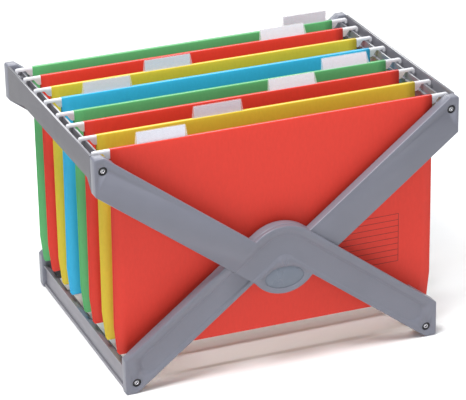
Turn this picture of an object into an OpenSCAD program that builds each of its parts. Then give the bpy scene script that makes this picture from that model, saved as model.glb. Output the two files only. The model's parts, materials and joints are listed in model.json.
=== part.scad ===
// Folding X-frame rack with eight hanging files on its two top rails.
// X runs across the rack, Y from front to back and Z up; the origin is the
// middle of the footprint, on the floor. All sizes are in millimetres.

/* [Rack] */
// Width over the outer faces of the two top rails
rack_w = 414; // [410:1:420]
// Depth from the front faces to the rear faces of the outer arms
rack_d = 312; // [312:1:360]
// Height of the top rails above the floor
rack_h = 277; // [275:1:280]
// Width over the outer edges of the two feet
foot_w = 362; // [358:1:366]
// Height of the pivot above the floor
hub_z = 128; // [126:1:130]

/* [Arms] */
// Rise of an arm for each millimetre sideways
arm_slope = 0.76; // [0.75:0.01:0.77]
// Width of an arm, across its length
arm_w = 39.3; // [38:0.1:40]
// Thickness of the two outer arms
outer_arm_t = 5.2; // [5:0.1:5.4]
// Thickness of the two inner arms
inner_arm_t = 11.5; // [10:0.1:12]
// Gap between an outer and an inner arm
arm_gap = 0.3; // [0.3:0.1:0.5]
// Depth of the thick end of an outer arm
outer_end_t = 14; // [12:0.5:15]
// Depth of the thick end of an inner arm
inner_end_t = 12; // [11:0.5:13]
// Thickness of the front skin that the back pockets leave
skin_t = 3.2; // [3:0.1:3.6]

/* [Hub] */
// Radius of the round hub
hub_r = 41; // [40.5:0.1:42]
// Radius of the rounded peak over the hub
peak_r = 47; // [45:1:48]
// Radius of the pivot pins
pin_r = 6; // [5:0.1:7]
// Radial clearance between a pivot pin and the inner arm
pin_clearance = 0.06; // [0.03:0.01:0.09]
// Outer radius of the clip on the end of a pivot pin
clip_r = 10; // [9:0.5:11]
// Width of the oval badge
badge_w = 45; // [40:1:48]
// Height of the oval badge
badge_h = 25; // [22:1:26]

/* [Groove] */
// Distance from the upper edge of an arm to the sunk band
groove_margin = 10; // [9:0.5:11]
// Width of the sunk band
groove_w = 24.3; // [22:0.1:25]
// Depth of the sunk band
groove_depth = 2; // [1:0.1:2.2]

/* [Top rails] */
// Distance between the centres of the two ridges that the hooks sit on
ridge_spacing = 388; // [386:1:389]
// Height of the ridges above the floor
ridge_z = 273; // [272.5:0.1:273.5]
// Thickness of the rail walls
rail_t = 2.5; // [2:0.1:3]
// Height of the floor of the rail channel
channel_z = 264; // [262:0.5:265]
// Height of the lower edge of the outer wall
wall_z = 249; // [247:0.5:252]

/* [Bottom rails] */
// Height of a bottom rail
base_h = 27.5; // [26:0.5:29]
// Distance of the inner edge of a bottom rail from the middle
base_inner_x = 158; // [158:0.5:160]

/* [Files] */
// Width of a file body
file_w = 365; // [360:1:366]
// Height of a file body
file_h = 240; // [235:1:241]
// Thickness of the file card
card_t = 0.6; // [0.5:0.1:0.7]
// Clear distance between the two bars of a file
mouth_w = 1.3; // [1.3:0.1:2]
// Depth of a file over its two panels at the base
base_depth = 8.5; // [8:0.1:8.5]
// Width of a white label
label_w = 53; // [50:1:56]

/* [Hidden] */

$fn = 64;
half_w = rack_w / 2;
half_d = rack_d / 2;
half_foot = foot_w / 2;

// An arm's direction, and its width measured straight up
arm_cos = 1 / sqrt(1 + arm_slope * arm_slope);
arm_sin = arm_slope * arm_cos;
arm_rise = arm_w / arm_cos;
corner_cut = 1.5;

// Centre and touching points of the rounded peak
peak_z = hub_z + arm_rise - peak_r / arm_cos;
touch_x = peak_r * arm_sin;
touch_z = peak_z + peak_r * arm_cos;
notch_x = arm_rise / (2 * arm_slope);
slope_angle = atan(arm_slope);

// Sunk band: lengths of its legs from the peak, and points in each bend
band_leg_l = 172;
band_left_l = 60;
band_steps = 24;

// Badge: height of its centre, points round it, play in its seat, and how
// far its face lies below the arm's
badge_z = hub_z - 22;
oval_steps = 64;
badge_play = 0.1;
badge_sink = 0.5;

// Pockets in the backs of the arms: where they start and end along the arm,
// how many there are, the wall round them and the ribs between them
pocket_start = 48;
top_pocket_end = 228;
foot_pocket_end = 186;
top_pockets = 5;
foot_pockets = 4;
pocket_wall = 2.5;
pocket_rib = 2;

// Clip: its thickness, its distance from the arm, the depth of the pin's
// groove, and the pin's length beyond the arm
clip_t = 1.2;
clip_gap = 0.4;
clip_bite = 1;
clip_slot_w = 5;
pin_end_l = 2.6;

// Screws: places, and sizes of head, shank and hole
top_screw = [198, 263.4];
foot_screw = [168.8, 12.4];
screw_head_r = 4.5;
screw_head_t = 2;
screw_seat_r = 5;
screw_seat_depth = 2.6;
screw_r = 2;
screw_hole_r = 2.2;
screw_l = 26;
cross_l = 5.2;
cross_w = 1.2;
cross_depth = 1.8;
boss_r = 5.5;
foot_boss_r = 4;
boss_l = 20;

// Where the outer and the inner frame start, counted from the front
inner_front = outer_arm_t + arm_gap;
inner_back = inner_front + inner_arm_t;
outer_rail_start = outer_end_t;
inner_rail_start = inner_front + inner_end_t;
top_end_x = 184;
foot_end_x = 152;

// Top rails: lengths of the strips under the outer wall, and the bead in the
// channel, measured from the ridge
short_gusset = 12;
long_gusset = 56;
ridge_t = 2;
bead_x = 5.2;
bead_t = 1.2;

// Bottom rails: how far the lips and the web stand in from the feet, and
// how the flange is cut back at its ends
lip_inset = 2;
web_inset = 7;
lip_h = 1.5;
flange_cut_x = 8;
flange_cut_y = 26;

// Files: distance of each front face from the front of the rack, middle of
// each tab, and colours
file_y = [21, 63, 103, 137, 179, 215, 253, 283.4];
tab_x = [-126, -47, 56, 134, -130, -46.5, 108.5, 148.5];
file_colours = ["#d8432f", "#dcc83c", "#d8432f", "#5fb870",
                "#35b0de", "#dcc83c", "#d8432f", "#5fb870"];
bar_t = 1;
bar_top = rack_h - 0.4;
bar_deep_z = 266.5;
bar_half_l = 202;
bar_neck_x = 188.5;
nose_x = 199;
nose_z = 270.4;
rear_bar_y = card_t + bar_t + mouth_w;
top_depth = rear_bar_y + bar_t + card_t;
file_taper = 4.5;
file_taper_h = 30;
tab_w = label_w + 5;
tab_bottom_z = 267;
tab_top_z = 290.5;
tab_wall = 0.4;
label_t = 0.3;
label_play = 0.05;

rack_grey = "#808290";
rack_grey_dark = "#74768a";

// ---------- shared helpers ----------

// Extrudes an outline drawn in X and Z, from y = from over a depth
module along_y(from, depth) {
    translate([0, from + depth, 0])
        rotate([90, 0, 0])
            linear_extrude(height = depth)
                children();
}

// A round bar along Y
module rod_y(x, z, r, from, length) {
    translate([x, from, z])
        rotate([-90, 0, 0])
            cylinder(r = r, h = length);
}

// A box from one corner to the opposite one
module block(low, high) {
    translate(low) cube(high - low);
}

// ---------- arms ----------

// Upper half of an arm that rises to the right
module upper_half() {
    polygon([
        [0, hub_z],
        [(rack_h - hub_z) / arm_slope, rack_h],
        [half_w - corner_cut, rack_h],
        [half_w, rack_h - corner_cut],
        [half_w, hub_z - arm_rise + arm_slope * half_w],
        [arm_w * arm_sin, hub_z - arm_w * arm_cos]]);
}

// Lower half of an arm that falls to the right
module lower_half() {
    polygon([
        [touch_x, touch_z],
        [half_foot, hub_z + arm_rise - arm_slope * half_foot],
        [half_foot, corner_cut],
        [half_foot - corner_cut, 0],
        [hub_z / arm_slope, 0],
        [touch_x - arm_w * arm_sin, touch_z - arm_w * arm_cos]]);
}

// Round hub under its rounded peak, with the notch on the left
module hub_outline() {
    intersection() {
        translate([0, hub_z]) circle(r = hub_r, $fn = 128);
        translate([0, peak_z]) circle(r = peak_r, $fn = 128);
    }
    polygon([
        [-notch_x, hub_z + arm_slope * notch_x],
        [-touch_x, touch_z],
        [0, hub_z],
        [-notch_x / 2, hub_z]]);
}

// Outline of an arm that falls from the upper left to the lower right
module arm_outline() {
    mirror([1, 0]) upper_half();
    lower_half();
    hub_outline();
}

// Points on a circle round c, from one compass angle to another: 0 is up, 90 right
function arc_points(c, r, from, to, steps) =
    [for (i = [0:steps])
        let (angle = from + (to - from) * i / steps)
            [c[0] + r * sin(angle), c[1] + r * cos(angle)]];

// Sunk band: from the left leg over the peak, down the right leg to a round
// end. With no left leg it starts on the right, hidden under the outer arm.
module sunk_band(left_leg) {
    outer_r = peak_r - groove_margin;
    inner_r = outer_r - groove_w;
    middle_r = (outer_r + inner_r) / 2;
    peak = [0, peak_z];
    left_end = band_left_l * [-arm_cos, -arm_sin];
    right_end = peak + band_leg_l * [arm_cos, -arm_sin] + middle_r * [arm_sin, arm_cos];
    polygon(concat(
        left_leg
            ? concat([peak + left_end + outer_r * [-arm_sin, arm_cos]],
                     arc_points(peak, outer_r, -slope_angle, slope_angle, band_steps))
            : [peak + outer_r * [arm_sin, arm_cos]],
        arc_points(right_end, groove_w / 2, slope_angle, slope_angle + 180, band_steps),
        left_leg
            ? concat(arc_points(peak, inner_r, slope_angle, -slope_angle, band_steps),
                     [peak + left_end + inner_r * [-arm_sin, arm_cos]])
            : [peak + inner_r * [arm_sin, arm_cos]]));
}

// Oval of the badge, drawn in by inset all round
module badge_outline(inset) {
    polygon([
        for (i = [0:oval_steps - 1])
            let (angle = 360 * i / oval_steps)
                [(badge_w / 2 - inset) * cos(angle),
                 badge_z + (badge_h / 2 - inset) * sin(angle)]]);
}

// Rectangular pockets in the back of one half of an arm, with ribs between.
// along and across are measured from the pivot along the arm's direction.
module pockets(start, end, low, high, count, from, depth) {
    pocket_l = (end - start - (count - 1) * pocket_rib) / count;
    translate([0, from, hub_z])
        for (k = [0:count - 1])
            translate([start + k * (pocket_l + pocket_rib), 0, low])
                cube([pocket_l, depth, high - low]);
}

// Turns a shape about the pivot, in the plane of the arms
module turned(angle) {
    translate([0, 0, hub_z])
        rotate([0, angle, 0])
            translate([0, 0, -hub_z])
                children();
}

// One arm that falls from the upper left to the lower right, front face at
// y = 0, with thick ends of depth end_t and its screw holes
module arm_body(thick, end_t) {
    difference() {
        union() {
            along_y(0, thick) arm_outline();
            along_y(0, end_t) intersection() {
                arm_outline();
                union() {
                    translate([-half_w, 0]) square([half_w - top_end_x, rack_h]);
                    translate([foot_end_x, 0]) square([half_foot - foot_end_x, rack_h]);
                }
            }
        }
        turned(slope_angle) {
            pockets(-top_pocket_end, -pocket_start, pocket_wall - arm_w, -pocket_wall,
                    top_pockets, skin_t, thick);
            pockets(pocket_start, foot_pocket_end, pocket_wall, arm_w - pocket_wall,
                    foot_pockets, skin_t, thick);
        }
        screw_hole([-top_screw[0], top_screw[1]], end_t);
        screw_hole(foot_screw, end_t);
    }
}

module screw_hole(at, depth) {
    rod_y(at[0], at[1], screw_hole_r, -1, depth + 2);
    rod_y(at[0], at[1], screw_seat_r, -1, screw_seat_depth + 1);
}

// Outer arm: sunk band, badge seat and a blind seat for the pivot pin
module outer_arm() {
    difference() {
        arm_body(outer_arm_t, outer_end_t);
        along_y(-1, 1 + groove_depth) sunk_band(true);
        along_y(-1, 1 + groove_depth) badge_outline(0);
        rod_y(0, hub_z, pin_r, skin_t, outer_arm_t);
    }
}

// Inner arm: the sunk band runs down its lower half only, and the pin's
// bore passes right through
module inner_arm() {
    difference() {
        arm_body(inner_arm_t, inner_end_t);
        along_y(-1, 1 + groove_depth) sunk_band(false);
        rod_y(0, hub_z, pin_r + pin_clearance, -1, inner_arm_t + 2);
    }
}

module place_outer(side) {
    mirror([0, side > 0 ? 1 : 0, 0]) translate([0, -half_d, 0]) children();
}

module place_inner(side) {
    mirror([0, side > 0 ? 1 : 0, 0])
        translate([0, inner_front - half_d, 0])
            mirror([1, 0, 0])
                children();
}

// ---------- pivot and badges ----------

module pivot_pin(side) {
    color(rack_grey_dark)
        place_outer(side)
            difference() {
                rod_y(0, hub_z, pin_r, skin_t, inner_back + pin_end_l - skin_t);
                difference() {
                    rod_y(0, hub_z, pin_r + 1, inner_back + clip_gap, clip_t);
                    rod_y(0, hub_z, pin_r - clip_bite, inner_back, pin_end_l);
                }
            }
}

module pivot_clip(side) {
    color("silver")
        place_outer(side)
            difference() {
                rod_y(0, hub_z, clip_r, inner_back + clip_gap, clip_t);
                rod_y(0, hub_z, pin_r - clip_bite, inner_back, pin_end_l);
                block([-clip_slot_w / 2, inner_back, hub_z - clip_r - 1],
                      [clip_slot_w / 2, inner_back + pin_end_l, hub_z - pin_r + 2]);
            }
}

module badge(side) {
    color("#8e94a2")
        place_outer(side)
            along_y(badge_sink, groove_depth - badge_sink) badge_outline(badge_play);
}

// ---------- screws ----------

// Cross-head screw, its head at the bottom of the seat
module screw(at) {
    difference() {
        union() {
            rod_y(at[0], at[1], screw_head_r, screw_seat_depth - screw_head_t, screw_head_t);
            rod_y(at[0], at[1], screw_r, screw_seat_depth, screw_l);
        }
        cross_arm(at, cross_l, cross_w);
        cross_arm(at, cross_w, cross_l);
    }
}

// One of the two slots that make the cross in a screw's head
module cross_arm(at, size_x, size_z) {
    block([at[0] - size_x / 2, 0, at[1] - size_z / 2],
          [at[0] + size_x / 2, cross_depth, at[1] + size_z / 2]);
}

module frame_screws() {
    screw([-top_screw[0], top_screw[1]]);
    screw(foot_screw);
}

module outer_frame_screws() {
    color("#2b2b30")
        for (side = [-1, 1])
            place_outer(side) frame_screws();
}

module inner_frame_screws() {
    color("#2b2b30")
        for (side = [-1, 1])
            place_inner(side) frame_screws();
}

// ---------- rails ----------

// Top rail on the right, from y = -half_l to half_l: an outer wall, the
// ridge for the hooks, and a channel between them for the hooks' noses
module top_rail(half_l) {
    inner_x = ridge_spacing / 2;
    difference() {
        union() {
            block([half_w - rail_t, -half_l, wall_z], [half_w, half_l, rack_h]);
            block([inner_x - 3.5, -half_l, channel_z - rail_t],
                  [half_w - 1, half_l, channel_z]);
            block([inner_x - ridge_t / 2, -half_l, channel_z - 1],
                  [inner_x + ridge_t / 2, half_l, ridge_z]);
            block([inner_x - ridge_t, -half_l, wall_z], [inner_x, half_l, channel_z - 1]);
            block([inner_x + bead_x, -half_l, channel_z - 1],
                  [inner_x + bead_x + bead_t, half_l, channel_z + bead_t]);
            gusset(-half_l, long_gusset);
            gusset(half_l, -short_gusset);
            for (end = [-1, 1])
                rail_end(end, half_l);
        }
        for (end = [-1, 1])
            rod_y(top_screw[0], top_screw[1], screw_r,
                  end > 0 ? half_l - boss_l : -half_l - 1, boss_l + 1);
    }
}

// Screw boss and closing rib at one end of a top rail
module rail_end(end, half_l) {
    rod_y(top_screw[0], top_screw[1], boss_r,
          end > 0 ? half_l - boss_l : -half_l, boss_l);
    translate([0, end > 0 ? half_l - rail_t : -half_l, 0])
        block([ridge_spacing / 2 - 1, 0, wall_z], [half_w - 1, rail_t, channel_z]);
}

// Three-cornered strip below the outer wall, from the end at y inwards
module gusset(y, length) {
    drop = wall_z - (hub_z - arm_rise + arm_slope * half_w) - 1;
    translate([half_w - rail_t, 0, 0])
        rotate([90, 0, 90])
            linear_extrude(height = rail_t)
                polygon([[y, wall_z + 1], [y, wall_z - drop], [y + length, wall_z],
                         [y + length, wall_z + 1]]);
}

// Bottom rail on the right: a web with lips outside and a flange inside
module bottom_rail(half_l) {
    outer_x = half_foot - lip_inset;
    web_x = half_foot - web_inset;
    straight_l = half_l - flange_cut_y;
    difference() {
        union() {
            block([web_x, -half_l, 0], [web_x + rail_t, half_l, base_h]);
            flange(half_l, outer_x);
            block([web_x, -half_l, rail_t - 1], [outer_x, half_l, rail_t + lip_h]);
            block([web_x, -half_l, base_h - lip_inset], [outer_x, half_l, base_h]);
            block([base_inner_x, -straight_l, 0],
                  [base_inner_x + lip_h, straight_l, rail_t + lip_h]);
            for (end = [-1, 1])
                foot_end(end, half_l, web_x);
        }
        for (end = [-1, 1])
            rod_y(foot_screw[0], foot_screw[1], screw_r,
                  end > 0 ? half_l - boss_l : -half_l - 1, boss_l + 1);
    }
}

// Flat flange inside a bottom rail, cut back at both ends
module flange(half_l, outer_x) {
    cut_x = base_inner_x + flange_cut_x;
    cut_l = half_l - flange_cut_y;
    linear_extrude(height = rail_t)
        polygon([[base_inner_x, -cut_l], [cut_x, -half_l], [outer_x, -half_l],
                 [outer_x, half_l], [cut_x, half_l], [base_inner_x, cut_l]]);
}

// Screw boss at one end of a bottom rail, on its own foot
module foot_end(end, half_l, web_x) {
    from = end > 0 ? half_l - boss_l : -half_l;
    rod_y(foot_screw[0], foot_screw[1], foot_boss_r, from, boss_l);
    block([foot_screw[0] - 3, from, 1], [foot_screw[0] + 3, from + boss_l, foot_screw[1]]);
    block([foot_screw[0], from, foot_screw[1] - 3], [web_x + 1, from + boss_l, foot_screw[1] + 3]);
}

// ---------- files ----------

// Outline of a file's panel in X and Z, drawn in at the bottom corners
module panel_outline() {
    bottom = rack_h - file_h;
    polygon([
        [-file_w / 2, rack_h], [file_w / 2, rack_h],
        [file_w / 2, bottom + file_taper_h], [file_w / 2 - file_taper, bottom],
        [-file_w / 2 + file_taper, bottom], [-file_w / 2, bottom + file_taper_h]]);
}

// Section of the folded card in Y and Z: the front panel hangs straight and
// the rear one slopes out to the flat base
module card_section() {
    bottom = rack_h - file_h;
    polygon([
        [0, rack_h], [0, bottom], [base_depth, bottom], [top_depth, rack_h],
        [top_depth - card_t, rack_h], [base_depth - card_t, bottom + card_t],
        [card_t, bottom + card_t], [card_t, rack_h]]);
}

// Folded card, open at the top and at both sides, with a hem over each bar
module file_card(k) {
    color(file_colours[k - 1])
        translate([0, file_y[k - 1] - half_d, 0]) {
            intersection() {
                translate([-half_w, 0, 0])
                    rotate([90, 0, 90])
                        linear_extrude(height = rack_w)
                            card_section();
                along_y(-1, base_depth + 2) panel_outline();
            }
            block([-file_w / 2, 0, bar_top], [file_w / 2, card_t + bar_t, rack_h]);
            block([-file_w / 2, rear_bar_y, bar_top], [file_w / 2, top_depth, rack_h]);
        }
}

module bar_outline() {
    for (side = [0, 1])
        mirror([side, 0])
            polygon([
                [0, bar_deep_z], [bar_neck_x, bar_deep_z], [bar_neck_x, ridge_z],
                [nose_x, ridge_z], [nose_x, nose_z], [bar_half_l, nose_z],
                [bar_half_l, bar_top - corner_cut], [bar_half_l - corner_cut, bar_top],
                [0, bar_top]]);
}

module file_bars(k) {
    color("white")
        translate([0, file_y[k - 1] - half_d, 0]) {
            along_y(card_t, bar_t) bar_outline();
            along_y(rear_bar_y, bar_t) bar_outline();
        }
}

// Clear sleeve behind the front bar, open at both sides
module file_tab(k) {
    from = card_t + bar_t;
    slot = label_t + 2 * label_play;
    depth = 2 * tab_wall + slot;
    x = tab_x[k - 1];
    color("#dfe3ea", 0.5)
        translate([x, file_y[k - 1] - half_d + from, 0])
            difference() {
                block([-tab_w / 2, 0, tab_bottom_z], [tab_w / 2, depth, tab_top_z]);
                block([-tab_w / 2 - 1, tab_wall, tab_bottom_z + 1],
                      [tab_w / 2 + 1, tab_wall + slot, tab_top_z - 0.6]);
            }
}

module file_label(k) {
    from = card_t + bar_t + tab_wall + label_play;
    color("#dedce8")
        translate([tab_x[k - 1], file_y[k - 1] - half_d + from, 0])
            block([-label_w / 2, 0, tab_bottom_z + 1.2], [label_w / 2, label_t, tab_top_z - 0.8]);
}

// ---------- sub-parts ----------

module front_outer_arm() { color(rack_grey) place_outer(-1) outer_arm(); }
module rear_outer_arm() { color(rack_grey) place_outer(1) outer_arm(); }
module front_inner_arm() { color(rack_grey) place_inner(-1) inner_arm(); }
module rear_inner_arm() { color(rack_grey) place_inner(1) inner_arm(); }

module left_top_rail() {
    color(rack_grey_dark) rotate([0, 0, 180]) top_rail(half_d - outer_rail_start);
}

module right_top_rail() {
    color(rack_grey_dark) top_rail(half_d - inner_rail_start);
}

module right_bottom_rail() {
    color(rack_grey_dark) bottom_rail(half_d - outer_rail_start);
}

module left_bottom_rail() {
    color(rack_grey_dark) mirror([1, 0, 0]) bottom_rail(half_d - inner_rail_start);
}

front_outer_arm();
rear_outer_arm();
left_top_rail();
right_bottom_rail();
outer_frame_screws();
pivot_pin(-1);  // front_pivot_pin
pivot_pin(1);  // rear_pivot_pin
pivot_clip(-1);  // front_pivot_clip
pivot_clip(1);  // rear_pivot_clip
badge(-1);  // front_badge
badge(1);  // rear_badge
front_inner_arm();
rear_inner_arm();
right_top_rail();
left_bottom_rail();
inner_frame_screws();
for (k = [1:8]) {
    file_card(k);
    file_bars(k);
    file_tab(k);
    file_label(k);
}
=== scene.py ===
import json
import math

import bmesh
import bpy
from mathutils import Matrix, Vector
from mathutils.geometry import delaunay_2d_cdt


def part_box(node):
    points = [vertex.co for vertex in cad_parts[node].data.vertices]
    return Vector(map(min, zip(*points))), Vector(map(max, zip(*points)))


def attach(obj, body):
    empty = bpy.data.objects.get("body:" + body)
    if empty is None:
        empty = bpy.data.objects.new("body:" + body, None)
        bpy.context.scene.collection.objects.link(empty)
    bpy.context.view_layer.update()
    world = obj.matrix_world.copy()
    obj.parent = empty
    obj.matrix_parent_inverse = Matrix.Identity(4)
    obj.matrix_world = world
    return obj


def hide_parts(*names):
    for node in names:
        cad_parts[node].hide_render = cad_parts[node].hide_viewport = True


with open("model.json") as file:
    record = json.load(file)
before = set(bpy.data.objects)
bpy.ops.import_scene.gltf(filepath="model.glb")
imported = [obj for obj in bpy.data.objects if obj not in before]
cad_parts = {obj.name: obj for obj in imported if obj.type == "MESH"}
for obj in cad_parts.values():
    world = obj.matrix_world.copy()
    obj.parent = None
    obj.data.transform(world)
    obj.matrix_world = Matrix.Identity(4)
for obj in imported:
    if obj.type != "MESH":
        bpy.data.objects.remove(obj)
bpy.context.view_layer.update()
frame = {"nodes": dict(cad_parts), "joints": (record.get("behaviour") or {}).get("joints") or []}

# ---------------------------------------------------------------------------
# Units and places, in metres, worked out from the frame
# ---------------------------------------------------------------------------

MM = 0.001
NODES = frame["nodes"]
FILE_COUNT = 8
FILE_COLOURS = ["red", "yellow", "red", "green", "blue", "yellow", "red", "green"]

FRONT_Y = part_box("front_outer_arm")[0].y
INNER_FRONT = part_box("front_inner_arm")[0].y
HUB_Z = frame["joints"][0]["pos_m"][2]

# The arms, as in the CAD: rise over run of a leg, width, and the arc of the peak
ARM_SLOPE = 0.76
ARM_COS = 1 / math.sqrt(1 + ARM_SLOPE**2)
ARM_SIN = ARM_SLOPE * ARM_COS
ARM_W = 39.3 * MM
PEAK_R = 47 * MM
PEAK_Z = HUB_Z + ARM_W / ARM_COS - PEAK_R / ARM_COS

# The band sunk in the arms' faces
GROOVE_MARGIN = 10 * MM
GROOVE_W = 24.3 * MM
GROOVE_LEG = 172 * MM
GROOVE_DEPTH = 2.0 * MM

# Camera fitted to the photo: degrees, metres and millimetres of lens
AZIMUTH = -21.4
ELEVATION = 23.785
ROLL = -1.237
CAMERA_X = -0.8898
CAMERA_AHEAD = 2.1242
CAMERA_Z = 1.2120
LENS = 185.0
SENSOR = 36.0

# Studio lights: name, place, width and height, and power in watts
LIGHTS = [
    ("top_light", (-0.5, -0.34, 1.8), (0.7, 0.5), 35.0),
    ("front_light", (-1.4, -1.8, 1.0), (1.2, 1.2), 3.0),
    ("right_light", (1.7, -0.8, 0.8), (0.9, 1.2), 4.0),
    ("back_light", (0.5, 1.9, 1.2), (1.4, 1.0), 14.0),
]
LIGHT_TARGET = (0.0, 0.0, 0.14)
SKY_COLOUR = (0.95, 0.97, 1.0, 1.0)
SKY_STRENGTH = 0.50
FLOOR_HALF = 6.0
FLOOR_DROP = 0.0002


# ---------------------------------------------------------------------------
# Camera, lights and floor
# ---------------------------------------------------------------------------

def add_camera():
    azimuth = math.radians(AZIMUTH)
    elevation = math.radians(ELEVATION)
    roll = math.radians(ROLL)
    forward = Vector((
        -math.sin(azimuth) * math.cos(elevation),
        math.cos(azimuth) * math.cos(elevation),
        -math.sin(elevation),
    ))
    right = Vector((math.cos(azimuth), math.sin(azimuth), 0.0))
    up = right.cross(forward)
    right_rolled = right * math.cos(roll) + up * math.sin(roll)
    up_rolled = up * math.cos(roll) - right * math.sin(roll)
    turn = Matrix((right_rolled, up_rolled, -forward)).transposed().to_4x4()
    place = (CAMERA_X, FRONT_Y - CAMERA_AHEAD, CAMERA_Z)
    data = bpy.data.cameras.new("camera")
    data.sensor_width = SENSOR
    data.lens = LENS
    data.clip_end = 50.0
    camera = bpy.data.objects.new("camera", data)
    camera.matrix_world = Matrix.Translation(place) @ turn
    bpy.context.scene.collection.objects.link(camera)
    bpy.context.scene.camera = camera


def add_area_light(name, place, size, power):
    data = bpy.data.lights.new(name, "AREA")
    data.shape = "RECTANGLE"
    data.size, data.size_y = size
    data.energy = power
    light = bpy.data.objects.new(name, data)
    light.location = place
    way = Vector(LIGHT_TARGET) - Vector(place)
    light.rotation_euler = way.to_track_quat("-Z", "Y").to_euler()
    bpy.context.scene.collection.objects.link(light)


def add_lights():
    for name, place, size, power in LIGHTS:
        add_area_light(name, place, size, power)
    world = bpy.data.worlds.new("studio")
    world.use_nodes = True
    background = world.node_tree.nodes["Background"]
    background.inputs["Color"].default_value = SKY_COLOUR
    background.inputs["Strength"].default_value = SKY_STRENGTH
    bpy.context.scene.world = world
    bpy.context.scene.view_settings.view_transform = "Standard"


def add_floor():
    mesh = bpy.data.meshes.new("floor")
    half = FLOOR_HALF
    corners = [(-half, -half, 0), (half, -half, 0), (half, half, 0), (-half, half, 0)]
    mesh.from_pydata(corners, [], [(0, 1, 2, 3)])
    floor = bpy.data.objects.new("floor", mesh)
    floor.location.z = -FLOOR_DROP
    bpy.context.scene.collection.objects.link(floor)
    material = bpy.data.materials.new("floor_paint")
    material.use_nodes = True
    shader = material.node_tree.nodes["Principled BSDF"]
    shader.inputs["Base Color"].default_value = (0.97, 0.97, 0.975, 1.0)
    shader.inputs["Roughness"].default_value = 0.7
    mesh.materials.append(material)


# ---------------------------------------------------------------------------
# Materials
# ---------------------------------------------------------------------------

def new_material(name, colour, roughness, **sockets):
    material = bpy.data.materials.new(name)
    material.use_nodes = True
    shader = material.node_tree.nodes["Principled BSDF"]
    shader.inputs["Base Color"].default_value = (*colour, 1.0)
    shader.inputs["Roughness"].default_value = roughness
    for socket, value in sockets.items():
        shader.inputs[socket.replace("_", " ")].default_value = value
    return material


def noise(material, scale, detail=3.0, stretch=(1.0, 1.0, 1.0)):
    tree = material.node_tree
    place = tree.nodes.new("ShaderNodeTexCoord")
    mapping = tree.nodes.new("ShaderNodeMapping")
    mapping.inputs["Scale"].default_value = stretch
    texture = tree.nodes.new("ShaderNodeTexNoise")
    texture.inputs["Scale"].default_value = scale
    texture.inputs["Detail"].default_value = detail
    tree.links.new(place.outputs["Object"], mapping.inputs["Vector"])
    tree.links.new(mapping.outputs["Vector"], texture.inputs["Vector"])
    return texture.outputs["Fac"]


def mottle(material, factor, dark, light):
    """Varies the base colour between two shades by a factor."""
    tree = material.node_tree
    shader = tree.nodes["Principled BSDF"]
    ramp = tree.nodes.new("ShaderNodeValToRGB")
    ramp.color_ramp.elements[0].position = 0.3
    ramp.color_ramp.elements[1].position = 0.7
    ramp.color_ramp.elements[0].color = (*dark, 1.0)
    ramp.color_ramp.elements[1].color = (*light, 1.0)
    tree.links.new(factor, ramp.inputs["Fac"])
    tree.links.new(ramp.outputs["Color"], shader.inputs["Base Color"])


def vary_roughness(material, factor, low, high):
    tree = material.node_tree
    spread = tree.nodes.new("ShaderNodeMapRange")
    spread.inputs["To Min"].default_value = low
    spread.inputs["To Max"].default_value = high
    tree.links.new(factor, spread.inputs["Value"])
    tree.links.new(spread.outputs["Result"], tree.nodes["Principled BSDF"].inputs["Roughness"])


def bump(material, height, strength, distance):
    tree = material.node_tree
    node = tree.nodes.new("ShaderNodeBump")
    node.inputs["Strength"].default_value = strength
    node.inputs["Distance"].default_value = distance
    tree.links.new(height, node.inputs["Height"])
    tree.links.new(node.outputs["Normal"], tree.nodes["Principled BSDF"].inputs["Normal"])


def shade(colour, amount):
    return tuple(min(1.0, channel * amount) for channel in colour)


def moulded_plastic(name, colour, roughness):
    material = new_material(name, colour, roughness, Specular_IOR_Level=0.5)
    mottle(material, noise(material, 18.0), shade(colour, 0.96), shade(colour, 1.04))
    vary_roughness(material, noise(material, 60.0), roughness - 0.05, roughness + 0.06)
    bump(material, noise(material, 2200.0, 2.0), 0.10, 0.00012)
    return material


def dyed_card(name, colour):
    material = new_material(name, colour, 0.62, Specular_IOR_Level=0.35)
    fibres = noise(material, 420.0, 6.0, (1.0, 1.0, 0.35))
    mottle(material, fibres, shade(colour, 0.975), shade(colour, 1.03))
    bump(material, fibres, 0.08, 0.0003)
    return material


def glossy_rail():
    """Rail plastic, shinier than the arms, so that it mirrors the files."""
    material = moulded_plastic("rail_plastic", (0.17, 0.168, 0.19), 0.16)
    shader = material.node_tree.nodes["Principled BSDF"]
    shader.inputs["IOR"].default_value = 1.75
    return material


def rail_side_painted_shade():
    """The top rails' outer sides: duller than the inside, and darkened by painted shade."""
    return moulded_plastic("rail_side_painted_shade", (0.150, 0.146, 0.160), 0.55)


def base_side_painted_light():
    """The bottom rails' outer sides, lightened by painted light from the floor."""
    return moulded_plastic("base_side_painted_light", (0.30, 0.29, 0.32), 0.5)


def clear_sleeve():
    clear = new_material("tab_clear", (0.95, 0.96, 0.98), 0.1, Alpha=0.14, IOR=1.45)
    vary_roughness(clear, noise(clear, 90.0), 0.06, 0.16)
    return clear


def label_paper():
    paper = new_material("label_paper", (0.74, 0.74, 0.82), 0.7)
    mottle(paper, noise(paper, 300.0, 4.0), (0.72, 0.72, 0.80), (0.76, 0.76, 0.84))
    return paper


def worn_metal(name, colour, low, high):
    metal = new_material(name, colour, low, Metallic=1.0)
    vary_roughness(metal, noise(metal, 600.0), low, high)
    return metal


def ruled_ink():
    ink = new_material("ruled_ink", (0.10, 0.012, 0.012), 0.7)
    mottle(ink, noise(ink, 700.0, 4.0), (0.085, 0.010, 0.010), (0.13, 0.016, 0.014))
    return ink


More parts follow.
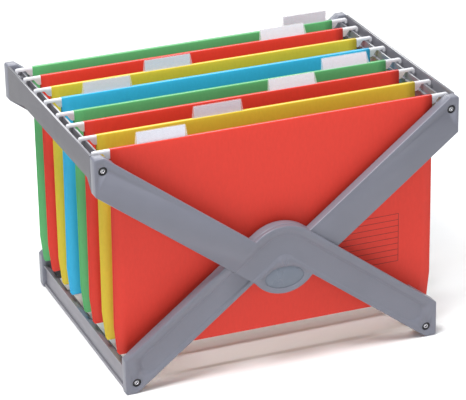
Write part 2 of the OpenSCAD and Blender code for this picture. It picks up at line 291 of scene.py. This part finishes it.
def make_materials():
    return {
        "rack": moulded_plastic("rack_plastic", (0.180, 0.185, 0.225), 0.36),
        "rail": glossy_rail(),
        # Top rails' outer sides: the rail plastic darkened by painted shade
        "rail_side_painted_shade": rail_side_painted_shade(),
        # Bottom rails' outer sides: the rail plastic lightened by painted light
        "base_side_painted_light": base_side_painted_light(),
        "pin": moulded_plastic("pin_plastic", (0.16, 0.165, 0.20), 0.45),
        "badge": moulded_plastic("badge_plastic", (0.155, 0.18, 0.225), 0.28),
        "bar": moulded_plastic("bar_plastic", (0.90, 0.90, 0.94), 0.30),
        "red": dyed_card("card_red", (0.72, 0.044, 0.026)),
        "yellow": dyed_card("card_yellow", (0.72, 0.56, 0.042)),
        "green": dyed_card("card_green", (0.115, 0.46, 0.165)),
        "blue": dyed_card("card_blue", (0.040, 0.47, 0.78)),
        "ink": ruled_ink(),
        # Black for the ring of painted shade round each screw head, in place of the seat gap's
        # shadow
        "shade_black": moulded_plastic("painted_shade_black", (0.012, 0.012, 0.014), 0.42),
        "paper": label_paper(),
        "clear": clear_sleeve(),
        "screw": worn_metal("screw_steel", (0.50, 0.50, 0.52), 0.12, 0.28),
        "clip": worn_metal("clip_steel", (0.6, 0.6, 0.61), 0.22, 0.42),
    }


# ---------------------------------------------------------------------------
# Mesh helpers
# ---------------------------------------------------------------------------

def add_piece(name, mesh, material, body, slot, *replaced):
    mesh.materials.clear()
    mesh.materials.append(material)
    piece = bpy.data.objects.new(name, mesh)
    bpy.context.scene.collection.objects.link(piece)
    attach(piece, body)
    if replaced:
        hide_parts(*replaced)
    return piece


def smooth(mesh, angle=35.0):
    """Smooth shading on curved faces; the flat sides stay flat."""
    for face in mesh.polygons:
        face.use_smooth = max(abs(part) for part in face.normal) < 0.99995
    mesh.set_sharp_from_angle(angle=math.radians(angle))


def y_extent(face):
    ys = [vert.co.y for vert in face.verts]
    return max(ys) - min(ys)


def is_deep(edge, min_depth):
    """Whether the edge belongs to a side that runs through the whole plate."""
    return all(
        abs(face.normal.y) > 0.99 or y_extent(face) > min_depth
        for face in edge.link_faces
    )


def bevel_sharp(bm, radius, segments, angle=28.0, min_depth=0.0, clamp=True):
    """Rounds the edges sharper than an angle in degrees."""
    sharp = [
        edge for edge in bm.edges
        if len(edge.link_faces) == 2
        and edge.calc_face_angle(0.0) > math.radians(angle)
        and (min_depth == 0.0 or is_deep(edge, min_depth))
    ]
    bmesh.ops.bevel(
        bm, geom=sharp, offset=radius, offset_type="OFFSET", segments=segments,
        profile=0.5, affect="EDGES", clamp_overlap=clamp, miter_outer="ARC",
    )


# How near two corners in mm count as one, and how alike the normals of faces in
# one plane are
MERGE_DISTANCE = 0.000001
SAME_PLANE = 0.9999999


def flat_region(start, seen):
    """The face and all faces in one plane with it that it is joined to."""
    region = []
    waiting = [start]
    seen.add(start)
    while waiting:
        face = waiting.pop()
        region.append(face)
        for edge in face.edges:
            for other in edge.link_faces:
                if other not in seen and other.normal.dot(start.normal) > SAME_PLANE:
                    seen.add(other)
                    waiting.append(other)
    return region


def inside_triangles(triangles, border):
    """Triangles to the left of a directed border."""
    owners = {}
    for number, (a, b, c) in enumerate(triangles):
        for side in ((a, b), (b, c), (c, a)):
            owners[side] = number
    inside = {owners[side] for side in border if side in owners}
    waiting = list(inside)
    while waiting:
        a, b, c = triangles[waiting.pop()]
        for side in ((a, b), (b, c), (c, a)):
            back = (side[1], side[0])
            other = owners.get(back)
            if side not in border and back not in border and other is not None:
                if other not in inside:
                    inside.add(other)
                    waiting.append(other)
    return [triangles[number] for number in sorted(inside)]


def region_border(region):
    """Corners of a region, and its border as directed pairs of their numbers."""
    members = set(region)
    index = {}
    border = []
    for face in region:
        for loop in face.loops:
            if any(other in members for other in loop.edge.link_faces if other is not face):
                continue
            ends = (loop.vert, loop.link_loop_next.vert)
            for vert in ends:
                index.setdefault(vert, len(index))
            border.append((index[ends[0]], index[ends[1]]))
    return list(index), border


def flat_points(corners, normal):
    """The corners in 2-D, in mm, seen along the axis nearest to the normal."""
    parts = [abs(part) for part in normal]
    kept = [axis for axis in range(3) if axis != parts.index(max(parts))]
    return [Vector((vert.co[kept[0]], vert.co[kept[1]])) * 1000 for vert in corners]


def refill_region(bm, region):
    """Replaces the faces of a flat region by triangles that fill it exactly."""
    corners, border = region_border(region)
    points = flat_points(corners, region[0].normal)
    area = sum(points[a].x * points[b].y - points[b].x * points[a].y for a, b in border)
    if area < 0:
        border = [(b, a) for a, b in border]
    found = delaunay_2d_cdt(points, border, [], 0, MERGE_DISTANCE)
    sources = found[3]
    if any(len(source) != 1 for source in sources):
        return
    triangles = [tuple(sources[i][0] for i in triangle) for triangle in found[2]]
    filling = inside_triangles(triangles, set(border))
    bmesh.ops.delete(bm, geom=region, context="FACES")
    for triangle in filling:
        bm.faces.new([corners[i] for i in triangle])


def refill_flat_regions(bm):
    """Fills anew each flat side along an axis that has faces of many corners."""
    seen = set()
    regions = []
    for face in bm.faces:
        if face not in seen and max(abs(part) for part in face.normal) > 0.99999:
            regions.append(flat_region(face, seen))
    for region in regions:
        if any(len(face.verts) > 4 for face in region):
            refill_region(bm, region)
    bmesh.ops.recalc_face_normals(bm, faces=bm.faces)


def rounded(node, radius, material, body, slot, segments=2, min_depth=0.0, clamp=True):
    """A copy of a CAD node with its edges rounded, which stands for it."""
    mesh = NODES[node].data.copy()
    mesh.name = node + "_rounded"
    bm = bmesh.new()
    bm.from_mesh(mesh)
    bmesh.ops.remove_doubles(bm, verts=bm.verts, dist=0.002 * MM)
    bmesh.ops.dissolve_limit(
        bm, angle_limit=math.radians(0.5), verts=bm.verts, edges=bm.edges,
        use_dissolve_boundaries=False,
    )
    bevel_sharp(bm, radius, segments, min_depth=min_depth, clamp=clamp)
    refill_flat_regions(bm)
    bm.to_mesh(mesh)
    bm.free()
    smooth(mesh)
    return add_piece(node + "_moulded", mesh, material, body, slot, node)


def round_corners(points, radii, steps=5):
    """The outline with each corner replaced by an arc of its radius."""
    outline = []
    count = len(points)
    for i, radius in enumerate(radii):
        before = Vector(points[i - 1])
        corner = Vector(points[i])
        after = Vector(points[(i + 1) % count])
        if radius == 0:
            outline.append(tuple(corner))
            continue
        to_before = (before - corner).normalized()
        to_after = (after - corner).normalized()
        half = to_before.angle(to_after) / 2
        reach = radius / math.tan(half)
        centre = corner + (to_before + to_after).normalized() * radius / math.sin(half)
        start = corner + to_before * reach - centre
        end = corner + to_after * reach - centre
        for step in range(steps + 1):
            outline.append(tuple(centre + start.slerp(end, step / steps) * radius))
    return outline


def plate_mesh(name, outline, y_low, y_high, bevel):
    """A plate in X and Z between two Y planes, with rounded edges."""
    mesh = bpy.data.meshes.new(name)
    bm = bmesh.new()
    front = [bm.verts.new((x, y_low, z)) for x, z in outline]
    back = [bm.verts.new((x, y_high, z)) for x, z in outline]
    bm.faces.new(front)
    bm.faces.new(list(reversed(back)))
    count = len(outline)
    for i in range(count):
        j = (i + 1) % count
        bm.faces.new((front[j], front[i], back[i], back[j]))
    bmesh.ops.recalc_face_normals(bm, faces=bm.faces)
    if bevel:
        bevel_sharp(bm, bevel, 2, 40.0)
    bm.to_mesh(mesh)
    bm.free()
    smooth(mesh)
    return mesh


# ---------------------------------------------------------------------------
# Rack
# ---------------------------------------------------------------------------

def band_path(left_leg):
    """Points of the sunk band's upper edge, with the ways across and along it."""
    slope = math.atan(ARM_SLOPE)
    outer = PEAK_R - GROOVE_MARGIN
    peak = Vector((0.0, PEAK_Z))
    path = []
    if left_leg:
        along = Vector((-ARM_COS, -ARM_SIN))
        normal = Vector((-ARM_SIN, ARM_COS))
        steps = 8
        for i in range(steps, 0, -1):
            path.append((peak + normal * outer, -normal, along * i / steps))
        steps = 24
        for i in range(steps + 1):
            angle = -slope + 2 * slope * i / steps
            out = Vector((math.sin(angle), math.cos(angle)))
            path.append((peak + out * outer, -out, None))
    normal = Vector((ARM_SIN, ARM_COS))
    along = Vector((ARM_COS, -ARM_SIN))
    steps = 16
    for i in range(1 if left_leg else 0, steps + 1):
        path.append((peak + normal * outer + along * GROOVE_LEG * i / steps, -normal, None))
    return path


def reach_of_edge(point, along):
    """Distance along a way from a point to the outer arm's lower left edge."""
    edge_z = HUB_Z - ARM_W / ARM_COS + BAND_GAP
    gap = point.y - edge_z + ARM_SLOPE * point.x
    return gap / -(along.y + ARM_SLOPE * along.x)


# Places across the band, close together at its steep walls, the walls' share of
# half its width, its depths in mm, and the gap round it
SHARES = [
    0.0, 0.018, 0.036, 0.054, 0.075, 0.11, 0.16, 0.23, 0.31, 0.40, 0.5,
    0.60, 0.69, 0.77, 0.84, 0.89, 0.925, 0.946, 0.964, 0.982, 1.0,
]


WALL_SHARE = 0.12
RIM_DEPTH = 0.08
DISH_DEPTH = 1.84
BAND_GAP = 0.05 * MM


def dish(off_centre):
    """Depth of the dished band, from 1 in its middle to 0 at its rim."""
    wall = min(1.0, (1.0 - off_centre) / WALL_SHARE)
    wall = wall * wall * (3.0 - 2.0 * wall)
    return 0.5 * wall + 0.5 * (1.0 - off_centre**2)


def trough_rows(path):
    """Rows of points across the band with their depths, in X, Z and depth."""
    width = GROOVE_W - 2 * BAND_GAP
    rows = []
    for edge, inward, back in path:
        row = []
        for s in SHARES:
            point = edge + inward * (BAND_GAP + width * s)
            if back is not None:
                way = back.normalized()
                point = point + way * reach_of_edge(point, way) * back.length
            row.append((point, (RIM_DEPTH + DISH_DEPTH * dish(abs(2 * s - 1))) * MM))
        rows.append(row)
    edge, inward, _ = path[-1]
    along = (path[-1][0] - path[-2][0]).normalized()
    centre = edge + inward * GROOVE_W / 2
    steps = 12
    for i in range(1, steps):
        turn = math.pi / 2 * i / steps
        row = []
        for s in SHARES:
            point = (
                centre
                + inward * (s - 0.5) * width * math.cos(turn)
                + along * width / 2 * math.sin(turn)
            )
            off_centre = min(1.0, math.hypot((2 * s - 1) * math.cos(turn), math.sin(turn)))
            row.append((point, (RIM_DEPTH + DISH_DEPTH * dish(off_centre)) * MM))
        rows.append(row)
    return rows


def trough(name, path, face_y, mirror_x, flip_y, body):
    """Dished strip that lies in the sunk band, with a round end."""
    mesh = bpy.data.meshes.new(name)
    bm = bmesh.new()
    x_sign = -1 if mirror_x else 1
    y_sign = -1 if flip_y else 1
    floor_depth = GROOVE_DEPTH - 0.02 * MM
    rows = []
    for row in trough_rows(path):
        tops = [bm.verts.new((p.x * x_sign, (face_y + d) * y_sign, p.y)) for p, d in row]
        lows = [bm.verts.new((p.x * x_sign, (face_y + floor_depth) * y_sign, p.y)) for p, d in row]
        rows.append((tops, lows))
    for (tops, lows), (next_tops, next_lows) in zip(rows, rows[1:]):
        for j in range(len(tops) - 1):
            bm.faces.new((tops[j], tops[j + 1], next_tops[j + 1], next_tops[j]))
            bm.faces.new((lows[j], lows[j + 1], next_lows[j + 1], next_lows[j]))
        bm.faces.new((tops[0], next_tops[0], next_lows[0], lows[0]))
        bm.faces.new((tops[-1], next_tops[-1], next_lows[-1], lows[-1]))
    for tops, lows in (rows[0], rows[-1]):
        for j in range(len(tops) - 1):
            bm.faces.new((tops[j], tops[j + 1], lows[j + 1], lows[j]))
    bmesh.ops.recalc_face_normals(bm, faces=bm.faces)
    bm.to_mesh(mesh)
    bm.free()
    smooth(mesh, 50.0)
    return add_piece(name, mesh, MATERIALS["rack"], body, "rack_plastic")


def lathe_mesh(name, profile, ring=False, steps=40):
    """A closed solid or ring turned round the Y axis from radii and depths."""
    mesh = bpy.data.meshes.new(name)
    bm = bmesh.new()
    rings = []
    for radius, depth in profile:
        circle = []
        for i in range(steps):
            angle = 2 * math.pi * i / steps
            place = (radius * math.cos(angle), depth, radius * math.sin(angle))
            circle.append(bm.verts.new([part * MM for part in place]))
        rings.append(circle)
    followers = rings[1:] + rings[:1] if ring else rings[1:]
    for circle, next_circle in zip(rings, followers):
        for i in range(steps):
            j = (i + 1) % steps
            bm.faces.new((circle[i], circle[j], next_circle[j], next_circle[i]))
    if not ring:
        bm.faces.new(rings[0])
        bm.faces.new(list(reversed(rings[-1])))
    bmesh.ops.recalc_face_normals(bm, faces=bm.faces)
    bm.to_mesh(mesh)
    bm.free()
    smooth(mesh, 40.0)
    return mesh


# The screws' places, X and Z, on the side where they have a positive X
TOP_SCREW = (198 * MM, 263.4 * MM)
FOOT_SCREW = (168.8 * MM, 12.4 * MM)

# Radii and depths below the arm's face, in mm: the driver's hole, the domed
# head and the shank, and the black ring of painted shade round the head
SCREW_PROFILE = [
    (1.2, 2.3), (1.35, 1.2), (1.7, 0.8), (2.1, 0.8), (2.5, 1.0), (2.75, 1.4),
    (2.8, 2.4), (2.0, 2.5), (2.0, 28.6),
]
SHADE_RING_PROFILE = [(2.9, 2.55), (2.9, 1.6), (3.4, 1.3), (4.2, 1.3), (4.75, 1.65), (4.75, 2.55)]


def add_screw(name, x, z, face_y, side, body):
    """Domed screw in a black ring of painted shade, at the bottom of its seat."""
    place = Matrix.Translation((x, face_y * side, z)) @ Matrix.Diagonal((1, side, 1, 1))
    # A black ring of painted shade stands in the shadowed gap between the head and its seat
    shade_ring = lathe_mesh(name + "_shade_ring", SHADE_RING_PROFILE, True)
    screw = lathe_mesh(name, SCREW_PROFILE)
    for mesh in (shade_ring, screw):
        mesh.transform(place)
        if side < 0:
            mesh.flip_normals()
    node = body + "_screws"
    add_piece(name + "_shade_ring", shade_ring, MATERIALS["shade_black"], body, "screw_steel", node)
    add_piece(name, screw, MATERIALS["screw"], body, "screw_steel", node)


def add_screws():
    top_x, top_z = TOP_SCREW
    foot_x, foot_z = FOOT_SCREW
    for side, end in ((1, "front"), (-1, "rear")):
        add_screw(f"{end}_outer_top_screw", -top_x, top_z, FRONT_Y, side, "outer_frame")
        add_screw(f"{end}_outer_foot_screw", foot_x, foot_z, FRONT_Y, side, "outer_frame")
        add_screw(f"{end}_inner_top_screw", top_x, top_z, INNER_FRONT, side, "inner_frame")
        add_screw(f"{end}_inner_foot_screw", -foot_x, foot_z, INNER_FRONT, side, "inner_frame")


# A face looks outwards if its normal points this much away from the middle
OUTWARD = 0.6

# Radii of the rounded edges, and the least depth of the arms' sides: the edges
# of their shallow steps stay sharp
ARM_ROUND = 0.9 * MM
OUTER_ARM_DEPTH = 5.1 * MM
INNER_ARM_DEPTH = 11.4 * MM
RAIL_ROUND = 0.5 * MM
PIN_ROUND = 0.4 * MM
SMALL_ROUND = 0.2 * MM


def paint_outside(piece, material):
    """Gives the faces that look away from the rack a copy of the plastic with light or shade
    painted in: painted shade on the top rails, painted light on the bottom rails.
    """
    mesh = piece.data
    mesh.materials.append(material)
    for face in mesh.polygons:
        outward = face.normal.x * (1 if face.center.x > 0 else -1)
        if outward > OUTWARD:
            face.material_index = 1


def add_rack():
    rack = MATERIALS["rack"]
    rail = MATERIALS["rail"]
    for node in ("front_outer_arm", "rear_outer_arm"):
        rounded(node, ARM_ROUND, rack, "outer_frame", "rack_plastic", 2, OUTER_ARM_DEPTH, False)
    for node in ("front_inner_arm", "rear_inner_arm"):
        rounded(node, ARM_ROUND, rack, "inner_frame", "rack_plastic", 2, INNER_ARM_DEPTH, False)
    # Outward faces of the top rails get painted shade; those of the bottom rails get painted light
    for node, body, side in (
        ("left_top_rail", "outer_frame", "rail_side_painted_shade"),
        ("right_bottom_rail", "outer_frame", "base_side_painted_light"),
        ("right_top_rail", "inner_frame", "rail_side_painted_shade"),
        ("left_bottom_rail", "inner_frame", "base_side_painted_light"),
    ):
        piece = rounded(node, RAIL_ROUND, rail, body, "rack_plastic")
        paint_outside(piece, MATERIALS[side])
    for side in ("front", "rear"):
        for part, radius, material, slot in (
            ("_pivot_pin", PIN_ROUND, "pin", "pin_plastic"),
            ("_pivot_clip", SMALL_ROUND, "clip", "clip_steel"),
            ("_badge", SMALL_ROUND, "badge", "badge_plastic"),
        ):
            rounded(side + part, radius, MATERIALS[material], "outer_frame", slot)
    trough("front_outer_trough", band_path(True), FRONT_Y, False, False, "outer_frame")
    trough("rear_outer_trough", band_path(True), FRONT_Y, False, True, "outer_frame")
    trough("front_inner_trough", band_path(False), INNER_FRONT, True, False, "inner_frame")
    trough("rear_inner_trough", band_path(False), INNER_FRONT, True, True, "inner_frame")
    add_screws()


# ---------------------------------------------------------------------------
# Files
# ---------------------------------------------------------------------------

CARD_T = 0.5 * MM
CARD_TOP_DEPTH = 4.5 * MM
HEM_R = 0.55 * MM
HEM_TAIL = 1.0 * MM
CREASE_DROP = 4.6 * MM
CREASE_IN = 0.32 * MM
BASE_R = 1.1 * MM
CARD_TAPER = 3.2 * MM
CARD_TAPER_H = 30 * MM
# Nothing of a card comes nearer to the front of the rack than this
CARD_CLEAR = 18 * MM
BAR_T = 1.0 * MM
BAR_EDGE = 0.22 * MM
TAB_WALL = 0.4 * MM
TAB_EDGE = 0.08 * MM
HINGE_Z = 276.0 * MM
# How far each file's lower left and lower right corners hang back, in mm
HANG_LEFT = [7.5, 3.0, 5.5, 1.5, 8.0, 0.3, 0.5, 0.4]
HANG_RIGHT = [1.5, 0.5, 1.0, 3.0, 2.0, 1.5, 2.5, 0.2]


def arc(centre_y, centre_z, radius, start, end, steps):
    points = []
    for i in range(steps + 1):
        angle = math.radians(start + (end - start) * i / steps)
        points.append((centre_y + radius * math.cos(angle), centre_z + radius * math.sin(angle)))
    return points


def line(start, end, steps):
    """Points between two ends, without the ends themselves."""
    return [
        (start[0] + (end[0] - start[0]) * i / steps, start[1] + (end[1] - start[1]) * i / steps)
        for i in range(1, steps)
    ]


def card_profile(k):
    """The folded card's section in Y and Z: hem, front, base, rear, hem."""
    low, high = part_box(f"file_{k}_card")
    half = CARD_T / 2
    front = low.y + half
    rear_low = high.y - half
    rear_top = low.y + CARD_TOP_DEPTH - half
    fold_z = high.z - half - HEM_R
    base_z = low.z + half + BASE_R
    hem_front = arc(front + CREASE_IN + HEM_R, fold_z, HEM_R, 0, 180, 6)
    crease = (front, high.z - CREASE_DROP)
    front_low = arc(front + BASE_R, base_z, BASE_R, 180, 270, 4)
    rear_arc = arc(rear_low - BASE_R, base_z, BASE_R, 270, 360, 4)
    hem_rear = arc(rear_top - HEM_R, fold_z, HEM_R, 0, 180, 6)
    profile = [(hem_front[0][0], fold_z - HEM_TAIL)]
    profile += hem_front
    profile += line(hem_front[-1], crease, 3) + [crease]
    profile += line(crease, front_low[0], 16) + front_low
    profile += rear_arc
    profile += line(rear_arc[-1], hem_rear[0], 16) + hem_rear
    profile.append((hem_rear[-1][0], fold_z - HEM_TAIL))
    return profile


def card_half_width(k, z):
    """Half the card's width at a height: it draws in at the bottom corners."""
    low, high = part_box(f"file_{k}_card")
    full = (high.x - low.x) / 2 - 0.1 * MM
    above = max(0.0, z - low.z)
    return full - CARD_TAPER * max(0.0, 1 - above / CARD_TAPER_H)


def hang_back(k, x_share, down):
    """How far a point of a file hangs back: more towards its base."""
    left = HANG_LEFT[k - 1]
    right = HANG_RIGHT[k - 1]
    share = (x_share + 1) / 2
    return (left + (right - left) * share) * MM * down**1.4


def card_bow(k, x_share, down, side):
    """How far a panel bows out of its plane, by its place on the panel."""
    belly = math.sin(math.pi * min(1.0, down))
    wave = 0.45 + 0.3 * math.sin(2.1 * x_share + k) + 0.25 * math.sin(4.3 * x_share + 1.7 * k)
    return side * belly * wave * MM


def add_card(k):
    low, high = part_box(f"file_{k}_card")
    profile = card_profile(k)
    middle_y = low.y + CARD_TOP_DEPTH / 2
    cells = 32
    mesh = bpy.data.meshes.new(f"file_{k}_folded_card")
    bm = bmesh.new()
    rows = []
    for y, z in profile:
        half = card_half_width(k, z)
        down = (high.z - z) / (high.z - low.z)
        side = -1 if y < middle_y else 0.4
        row = []
        for i in range(cells + 1):
            x_share = 2 * i / cells - 1
            move = hang_back(k, x_share, down) + card_bow(k, x_share, down, side)
            row.append(bm.verts.new((half * x_share, max(y + move, FRONT_Y + CARD_CLEAR), z)))
        rows.append(row)
    for row, next_row in zip(rows, rows[1:]):
        for i in range(cells):
            bm.faces.new((row[i], row[i + 1], next_row[i + 1], next_row[i]))
    bmesh.ops.recalc_face_normals(bm, faces=bm.faces)
    bm.to_mesh(mesh)
    bm.free()
    smooth(mesh, 60.0)
    colour = FILE_COLOURS[k - 1]
    piece = add_piece(
        f"file_{k}_folded_card", mesh, MATERIALS[colour], f"file_{k}", "card_" + colour,
        f"file_{k}_card",
    )
    thick = piece.modifiers.new("thickness", "SOLIDIFY")
    thick.thickness = CARD_T
    thick.offset = 0.0


# The hook at each end of a bar: its foot, bend and shoulder, then the notch over
# the rail's ridge and the nose beyond it
HOOK_FOOT_X = 184.8 * MM
HOOK_BEND_X = 186.8 * MM
HOOK_BEND_RISE = 1.6 * MM
HOOK_TOP_X = 190.4 * MM
RIDGE_Z = 273.1 * MM
NOSE_X = 199.2 * MM
NOSE_Z = 270.4 * MM
HOOK_RADII = [1.6, 1.6, 1.0, 1.2, 1.0, 1.3, 2.4]


def bar_outline(k):
    """Outline of a bar in X and Z, with a hook at each end."""
    low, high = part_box(f"file_{k}_bars")
    tip = high.x
    top = high.z
    deep = low.z
    half = [
        (HOOK_FOOT_X, deep), (HOOK_BEND_X, deep + HOOK_BEND_RISE), (HOOK_TOP_X, RIDGE_Z),
        (NOSE_X, RIDGE_Z), (NOSE_X, NOSE_Z), (tip, NOSE_Z), (tip, top),
    ]
    radii = [radius * MM for radius in HOOK_RADII]
    points = half + [(-x, z) for x, z in reversed(half)]
    return round_corners(points, radii + radii[::-1])


def add_bars(k):
    low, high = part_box(f"file_{k}_bars")
    outline = bar_outline(k)
    front = plate_mesh(f"file_{k}_front_bar", outline, low.y, low.y + BAR_T, BAR_EDGE)
    rear = plate_mesh(f"file_{k}_rear_bar", outline, high.y - BAR_T, high.y, BAR_EDGE)
    add_piece(
        f"file_{k}_front_bar", front, MATERIALS["bar"], f"file_{k}", "bar_plastic",
        f"file_{k}_bars",
    )
    add_piece(f"file_{k}_rear_bar", rear, MATERIALS["bar"], f"file_{k}", "bar_plastic")


# Degrees that each file's tab leans back
TAB_LEAN = [4, 3, 16, 18, 3, 3, 18, 2]


def leant(mesh, hinge_y, degrees):
    """Leans the part of a mesh above the hinge back about a line along X."""
    bm = bmesh.new()
    bm.from_mesh(mesh)
    geometry = bm.verts[:] + bm.edges[:] + bm.faces[:]
    bmesh.ops.bisect_plane(
        bm, geom=geometry, plane_co=(0, 0, HINGE_Z), plane_no=(0, 0, 1), dist=0.01 * MM,
    )
    turn = math.radians(degrees)
    for vert in bm.verts:
        rise = vert.co.z - HINGE_Z
        if rise > 0.02 * MM:
            across = vert.co.y - hinge_y
            vert.co.y = hinge_y + across * math.cos(turn) + rise * math.sin(turn)
            vert.co.z = HINGE_Z + rise * math.cos(turn) - across * math.sin(turn)
    bm.to_mesh(mesh)
    bm.free()


def sleeve_outline(low, high):
    """Outline of the clear sleeve, with its sides sloping in to the top."""
    middle = (low.x + high.x) / 2
    half = (high.x - low.x) / 2
    top = high.z - 0.2 * MM
    return round_corners(
        [
            (middle - half, low.z), (middle + half, low.z), (middle + half, HINGE_Z + 1.5 * MM),
            (middle + half - 1.8 * MM, top), (middle - half + 1.8 * MM, top),
            (middle - half, HINGE_Z + 1.5 * MM),
        ],
        [0.8 * MM, 0.8 * MM, 1.0 * MM, 1.2 * MM, 1.2 * MM, 1.0 * MM],
    )


def add_tab(k):
    low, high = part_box(f"file_{k}_tab")
    paper_low, paper_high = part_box(f"file_{k}_label")
    outline = sleeve_outline(low, high)
    front = plate_mesh(f"file_{k}_tab_front", outline, low.y, low.y + TAB_WALL, TAB_EDGE)
    back = plate_mesh(f"file_{k}_tab_back", outline, high.y - TAB_WALL, high.y, TAB_EDGE)
    label = plate_mesh(
        f"file_{k}_paper",
        [(paper_low.x, paper_low.z), (paper_high.x, paper_low.z),
         (paper_high.x, paper_high.z - 0.3 * MM), (paper_low.x, paper_high.z - 0.3 * MM)],
        paper_low.y, paper_high.y, 0,
    )
    for mesh in (front, back, label):
        leant(mesh, low.y, TAB_LEAN[k - 1])
    body = f"file_{k}"
    add_piece(f"file_{k}_tab_front", front, MATERIALS["clear"], body, "tab_clear", f"file_{k}_tab")
    add_piece(f"file_{k}_tab_back", back, MATERIALS["clear"], body, "tab_clear")
    add_piece(f"file_{k}_paper", label, MATERIALS["paper"], body, "label_paper", f"file_{k}_label")


def front_panel_y(k, x, z):
    """Y of the outer face of a file's front panel at a place on it."""
    low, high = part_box(f"file_{k}_card")
    down = (high.z - z) / (high.z - low.z)
    x_share = x / card_half_width(k, z)
    return low.y + hang_back(k, x_share, down) + card_bow(k, x_share, down, -1)


# The printed box on the front file
BOX_RIGHT = 144 * MM
BOX_LEFT = BOX_RIGHT - 76 * MM
BOX_TOP = 145 * MM
BOX_PITCH = 7.1 * MM
BOX_ROWS = 8
BOX_LINE_W = 0.45 * MM
INK_FRONT = -0.07 * MM
INK_BACK = 0.05 * MM


def add_strip(bm, start, end, wide):
    """A thin closed strip that follows the front panel from start to end."""
    steps = 12
    corners = [(-1, INK_FRONT), (1, INK_FRONT), (1, INK_BACK), (-1, INK_BACK)]
    rings = []
    for i in range(steps + 1):
        x = start[0] + (end[0] - start[0]) * i / steps
        z = start[1] + (end[1] - start[1]) * i / steps
        y = front_panel_y(1, x, z)
        ring = [
            bm.verts.new((x + wide[0] * c, y + depth, z + wide[1] * c)) for c, depth in corners
        ]
        rings.append(ring)
    for ring, next_ring in zip(rings, rings[1:]):
        for i in range(4):
            j = (i + 1) % 4
            bm.faces.new((ring[i], ring[j], next_ring[j], next_ring[i]))
    bm.faces.new(rings[0])
    bm.faces.new(list(reversed(rings[-1])))


def add_ruled_box():
    """Printed box of ruled lines on the front file, for writing on."""
    bottom = BOX_TOP - BOX_ROWS * BOX_PITCH
    mesh = bpy.data.meshes.new("file_1_ruled_box")
    bm = bmesh.new()
    for i in range(BOX_ROWS + 1):
        z = BOX_TOP - i * BOX_PITCH
        add_strip(bm, (BOX_LEFT, z), (BOX_RIGHT, z), (0, BOX_LINE_W / 2))
    for x in (BOX_LEFT, BOX_RIGHT):
        add_strip(bm, (x, bottom), (x, BOX_TOP), (BOX_LINE_W / 2, 0))
    bmesh.ops.recalc_face_normals(bm, faces=bm.faces)
    bm.to_mesh(mesh)
    bm.free()
    add_piece("file_1_ruled_box", mesh, MATERIALS["ink"], "file_1", "card_red")


# ---------------------------------------------------------------------------
# Scene
# ---------------------------------------------------------------------------

add_camera()
add_lights()
add_floor()
MATERIALS = make_materials()
add_rack()
for file_number in range(1, FILE_COUNT + 1):
    add_card(file_number)
    add_bars(file_number)
    add_tab(file_number)
add_ruled_box()
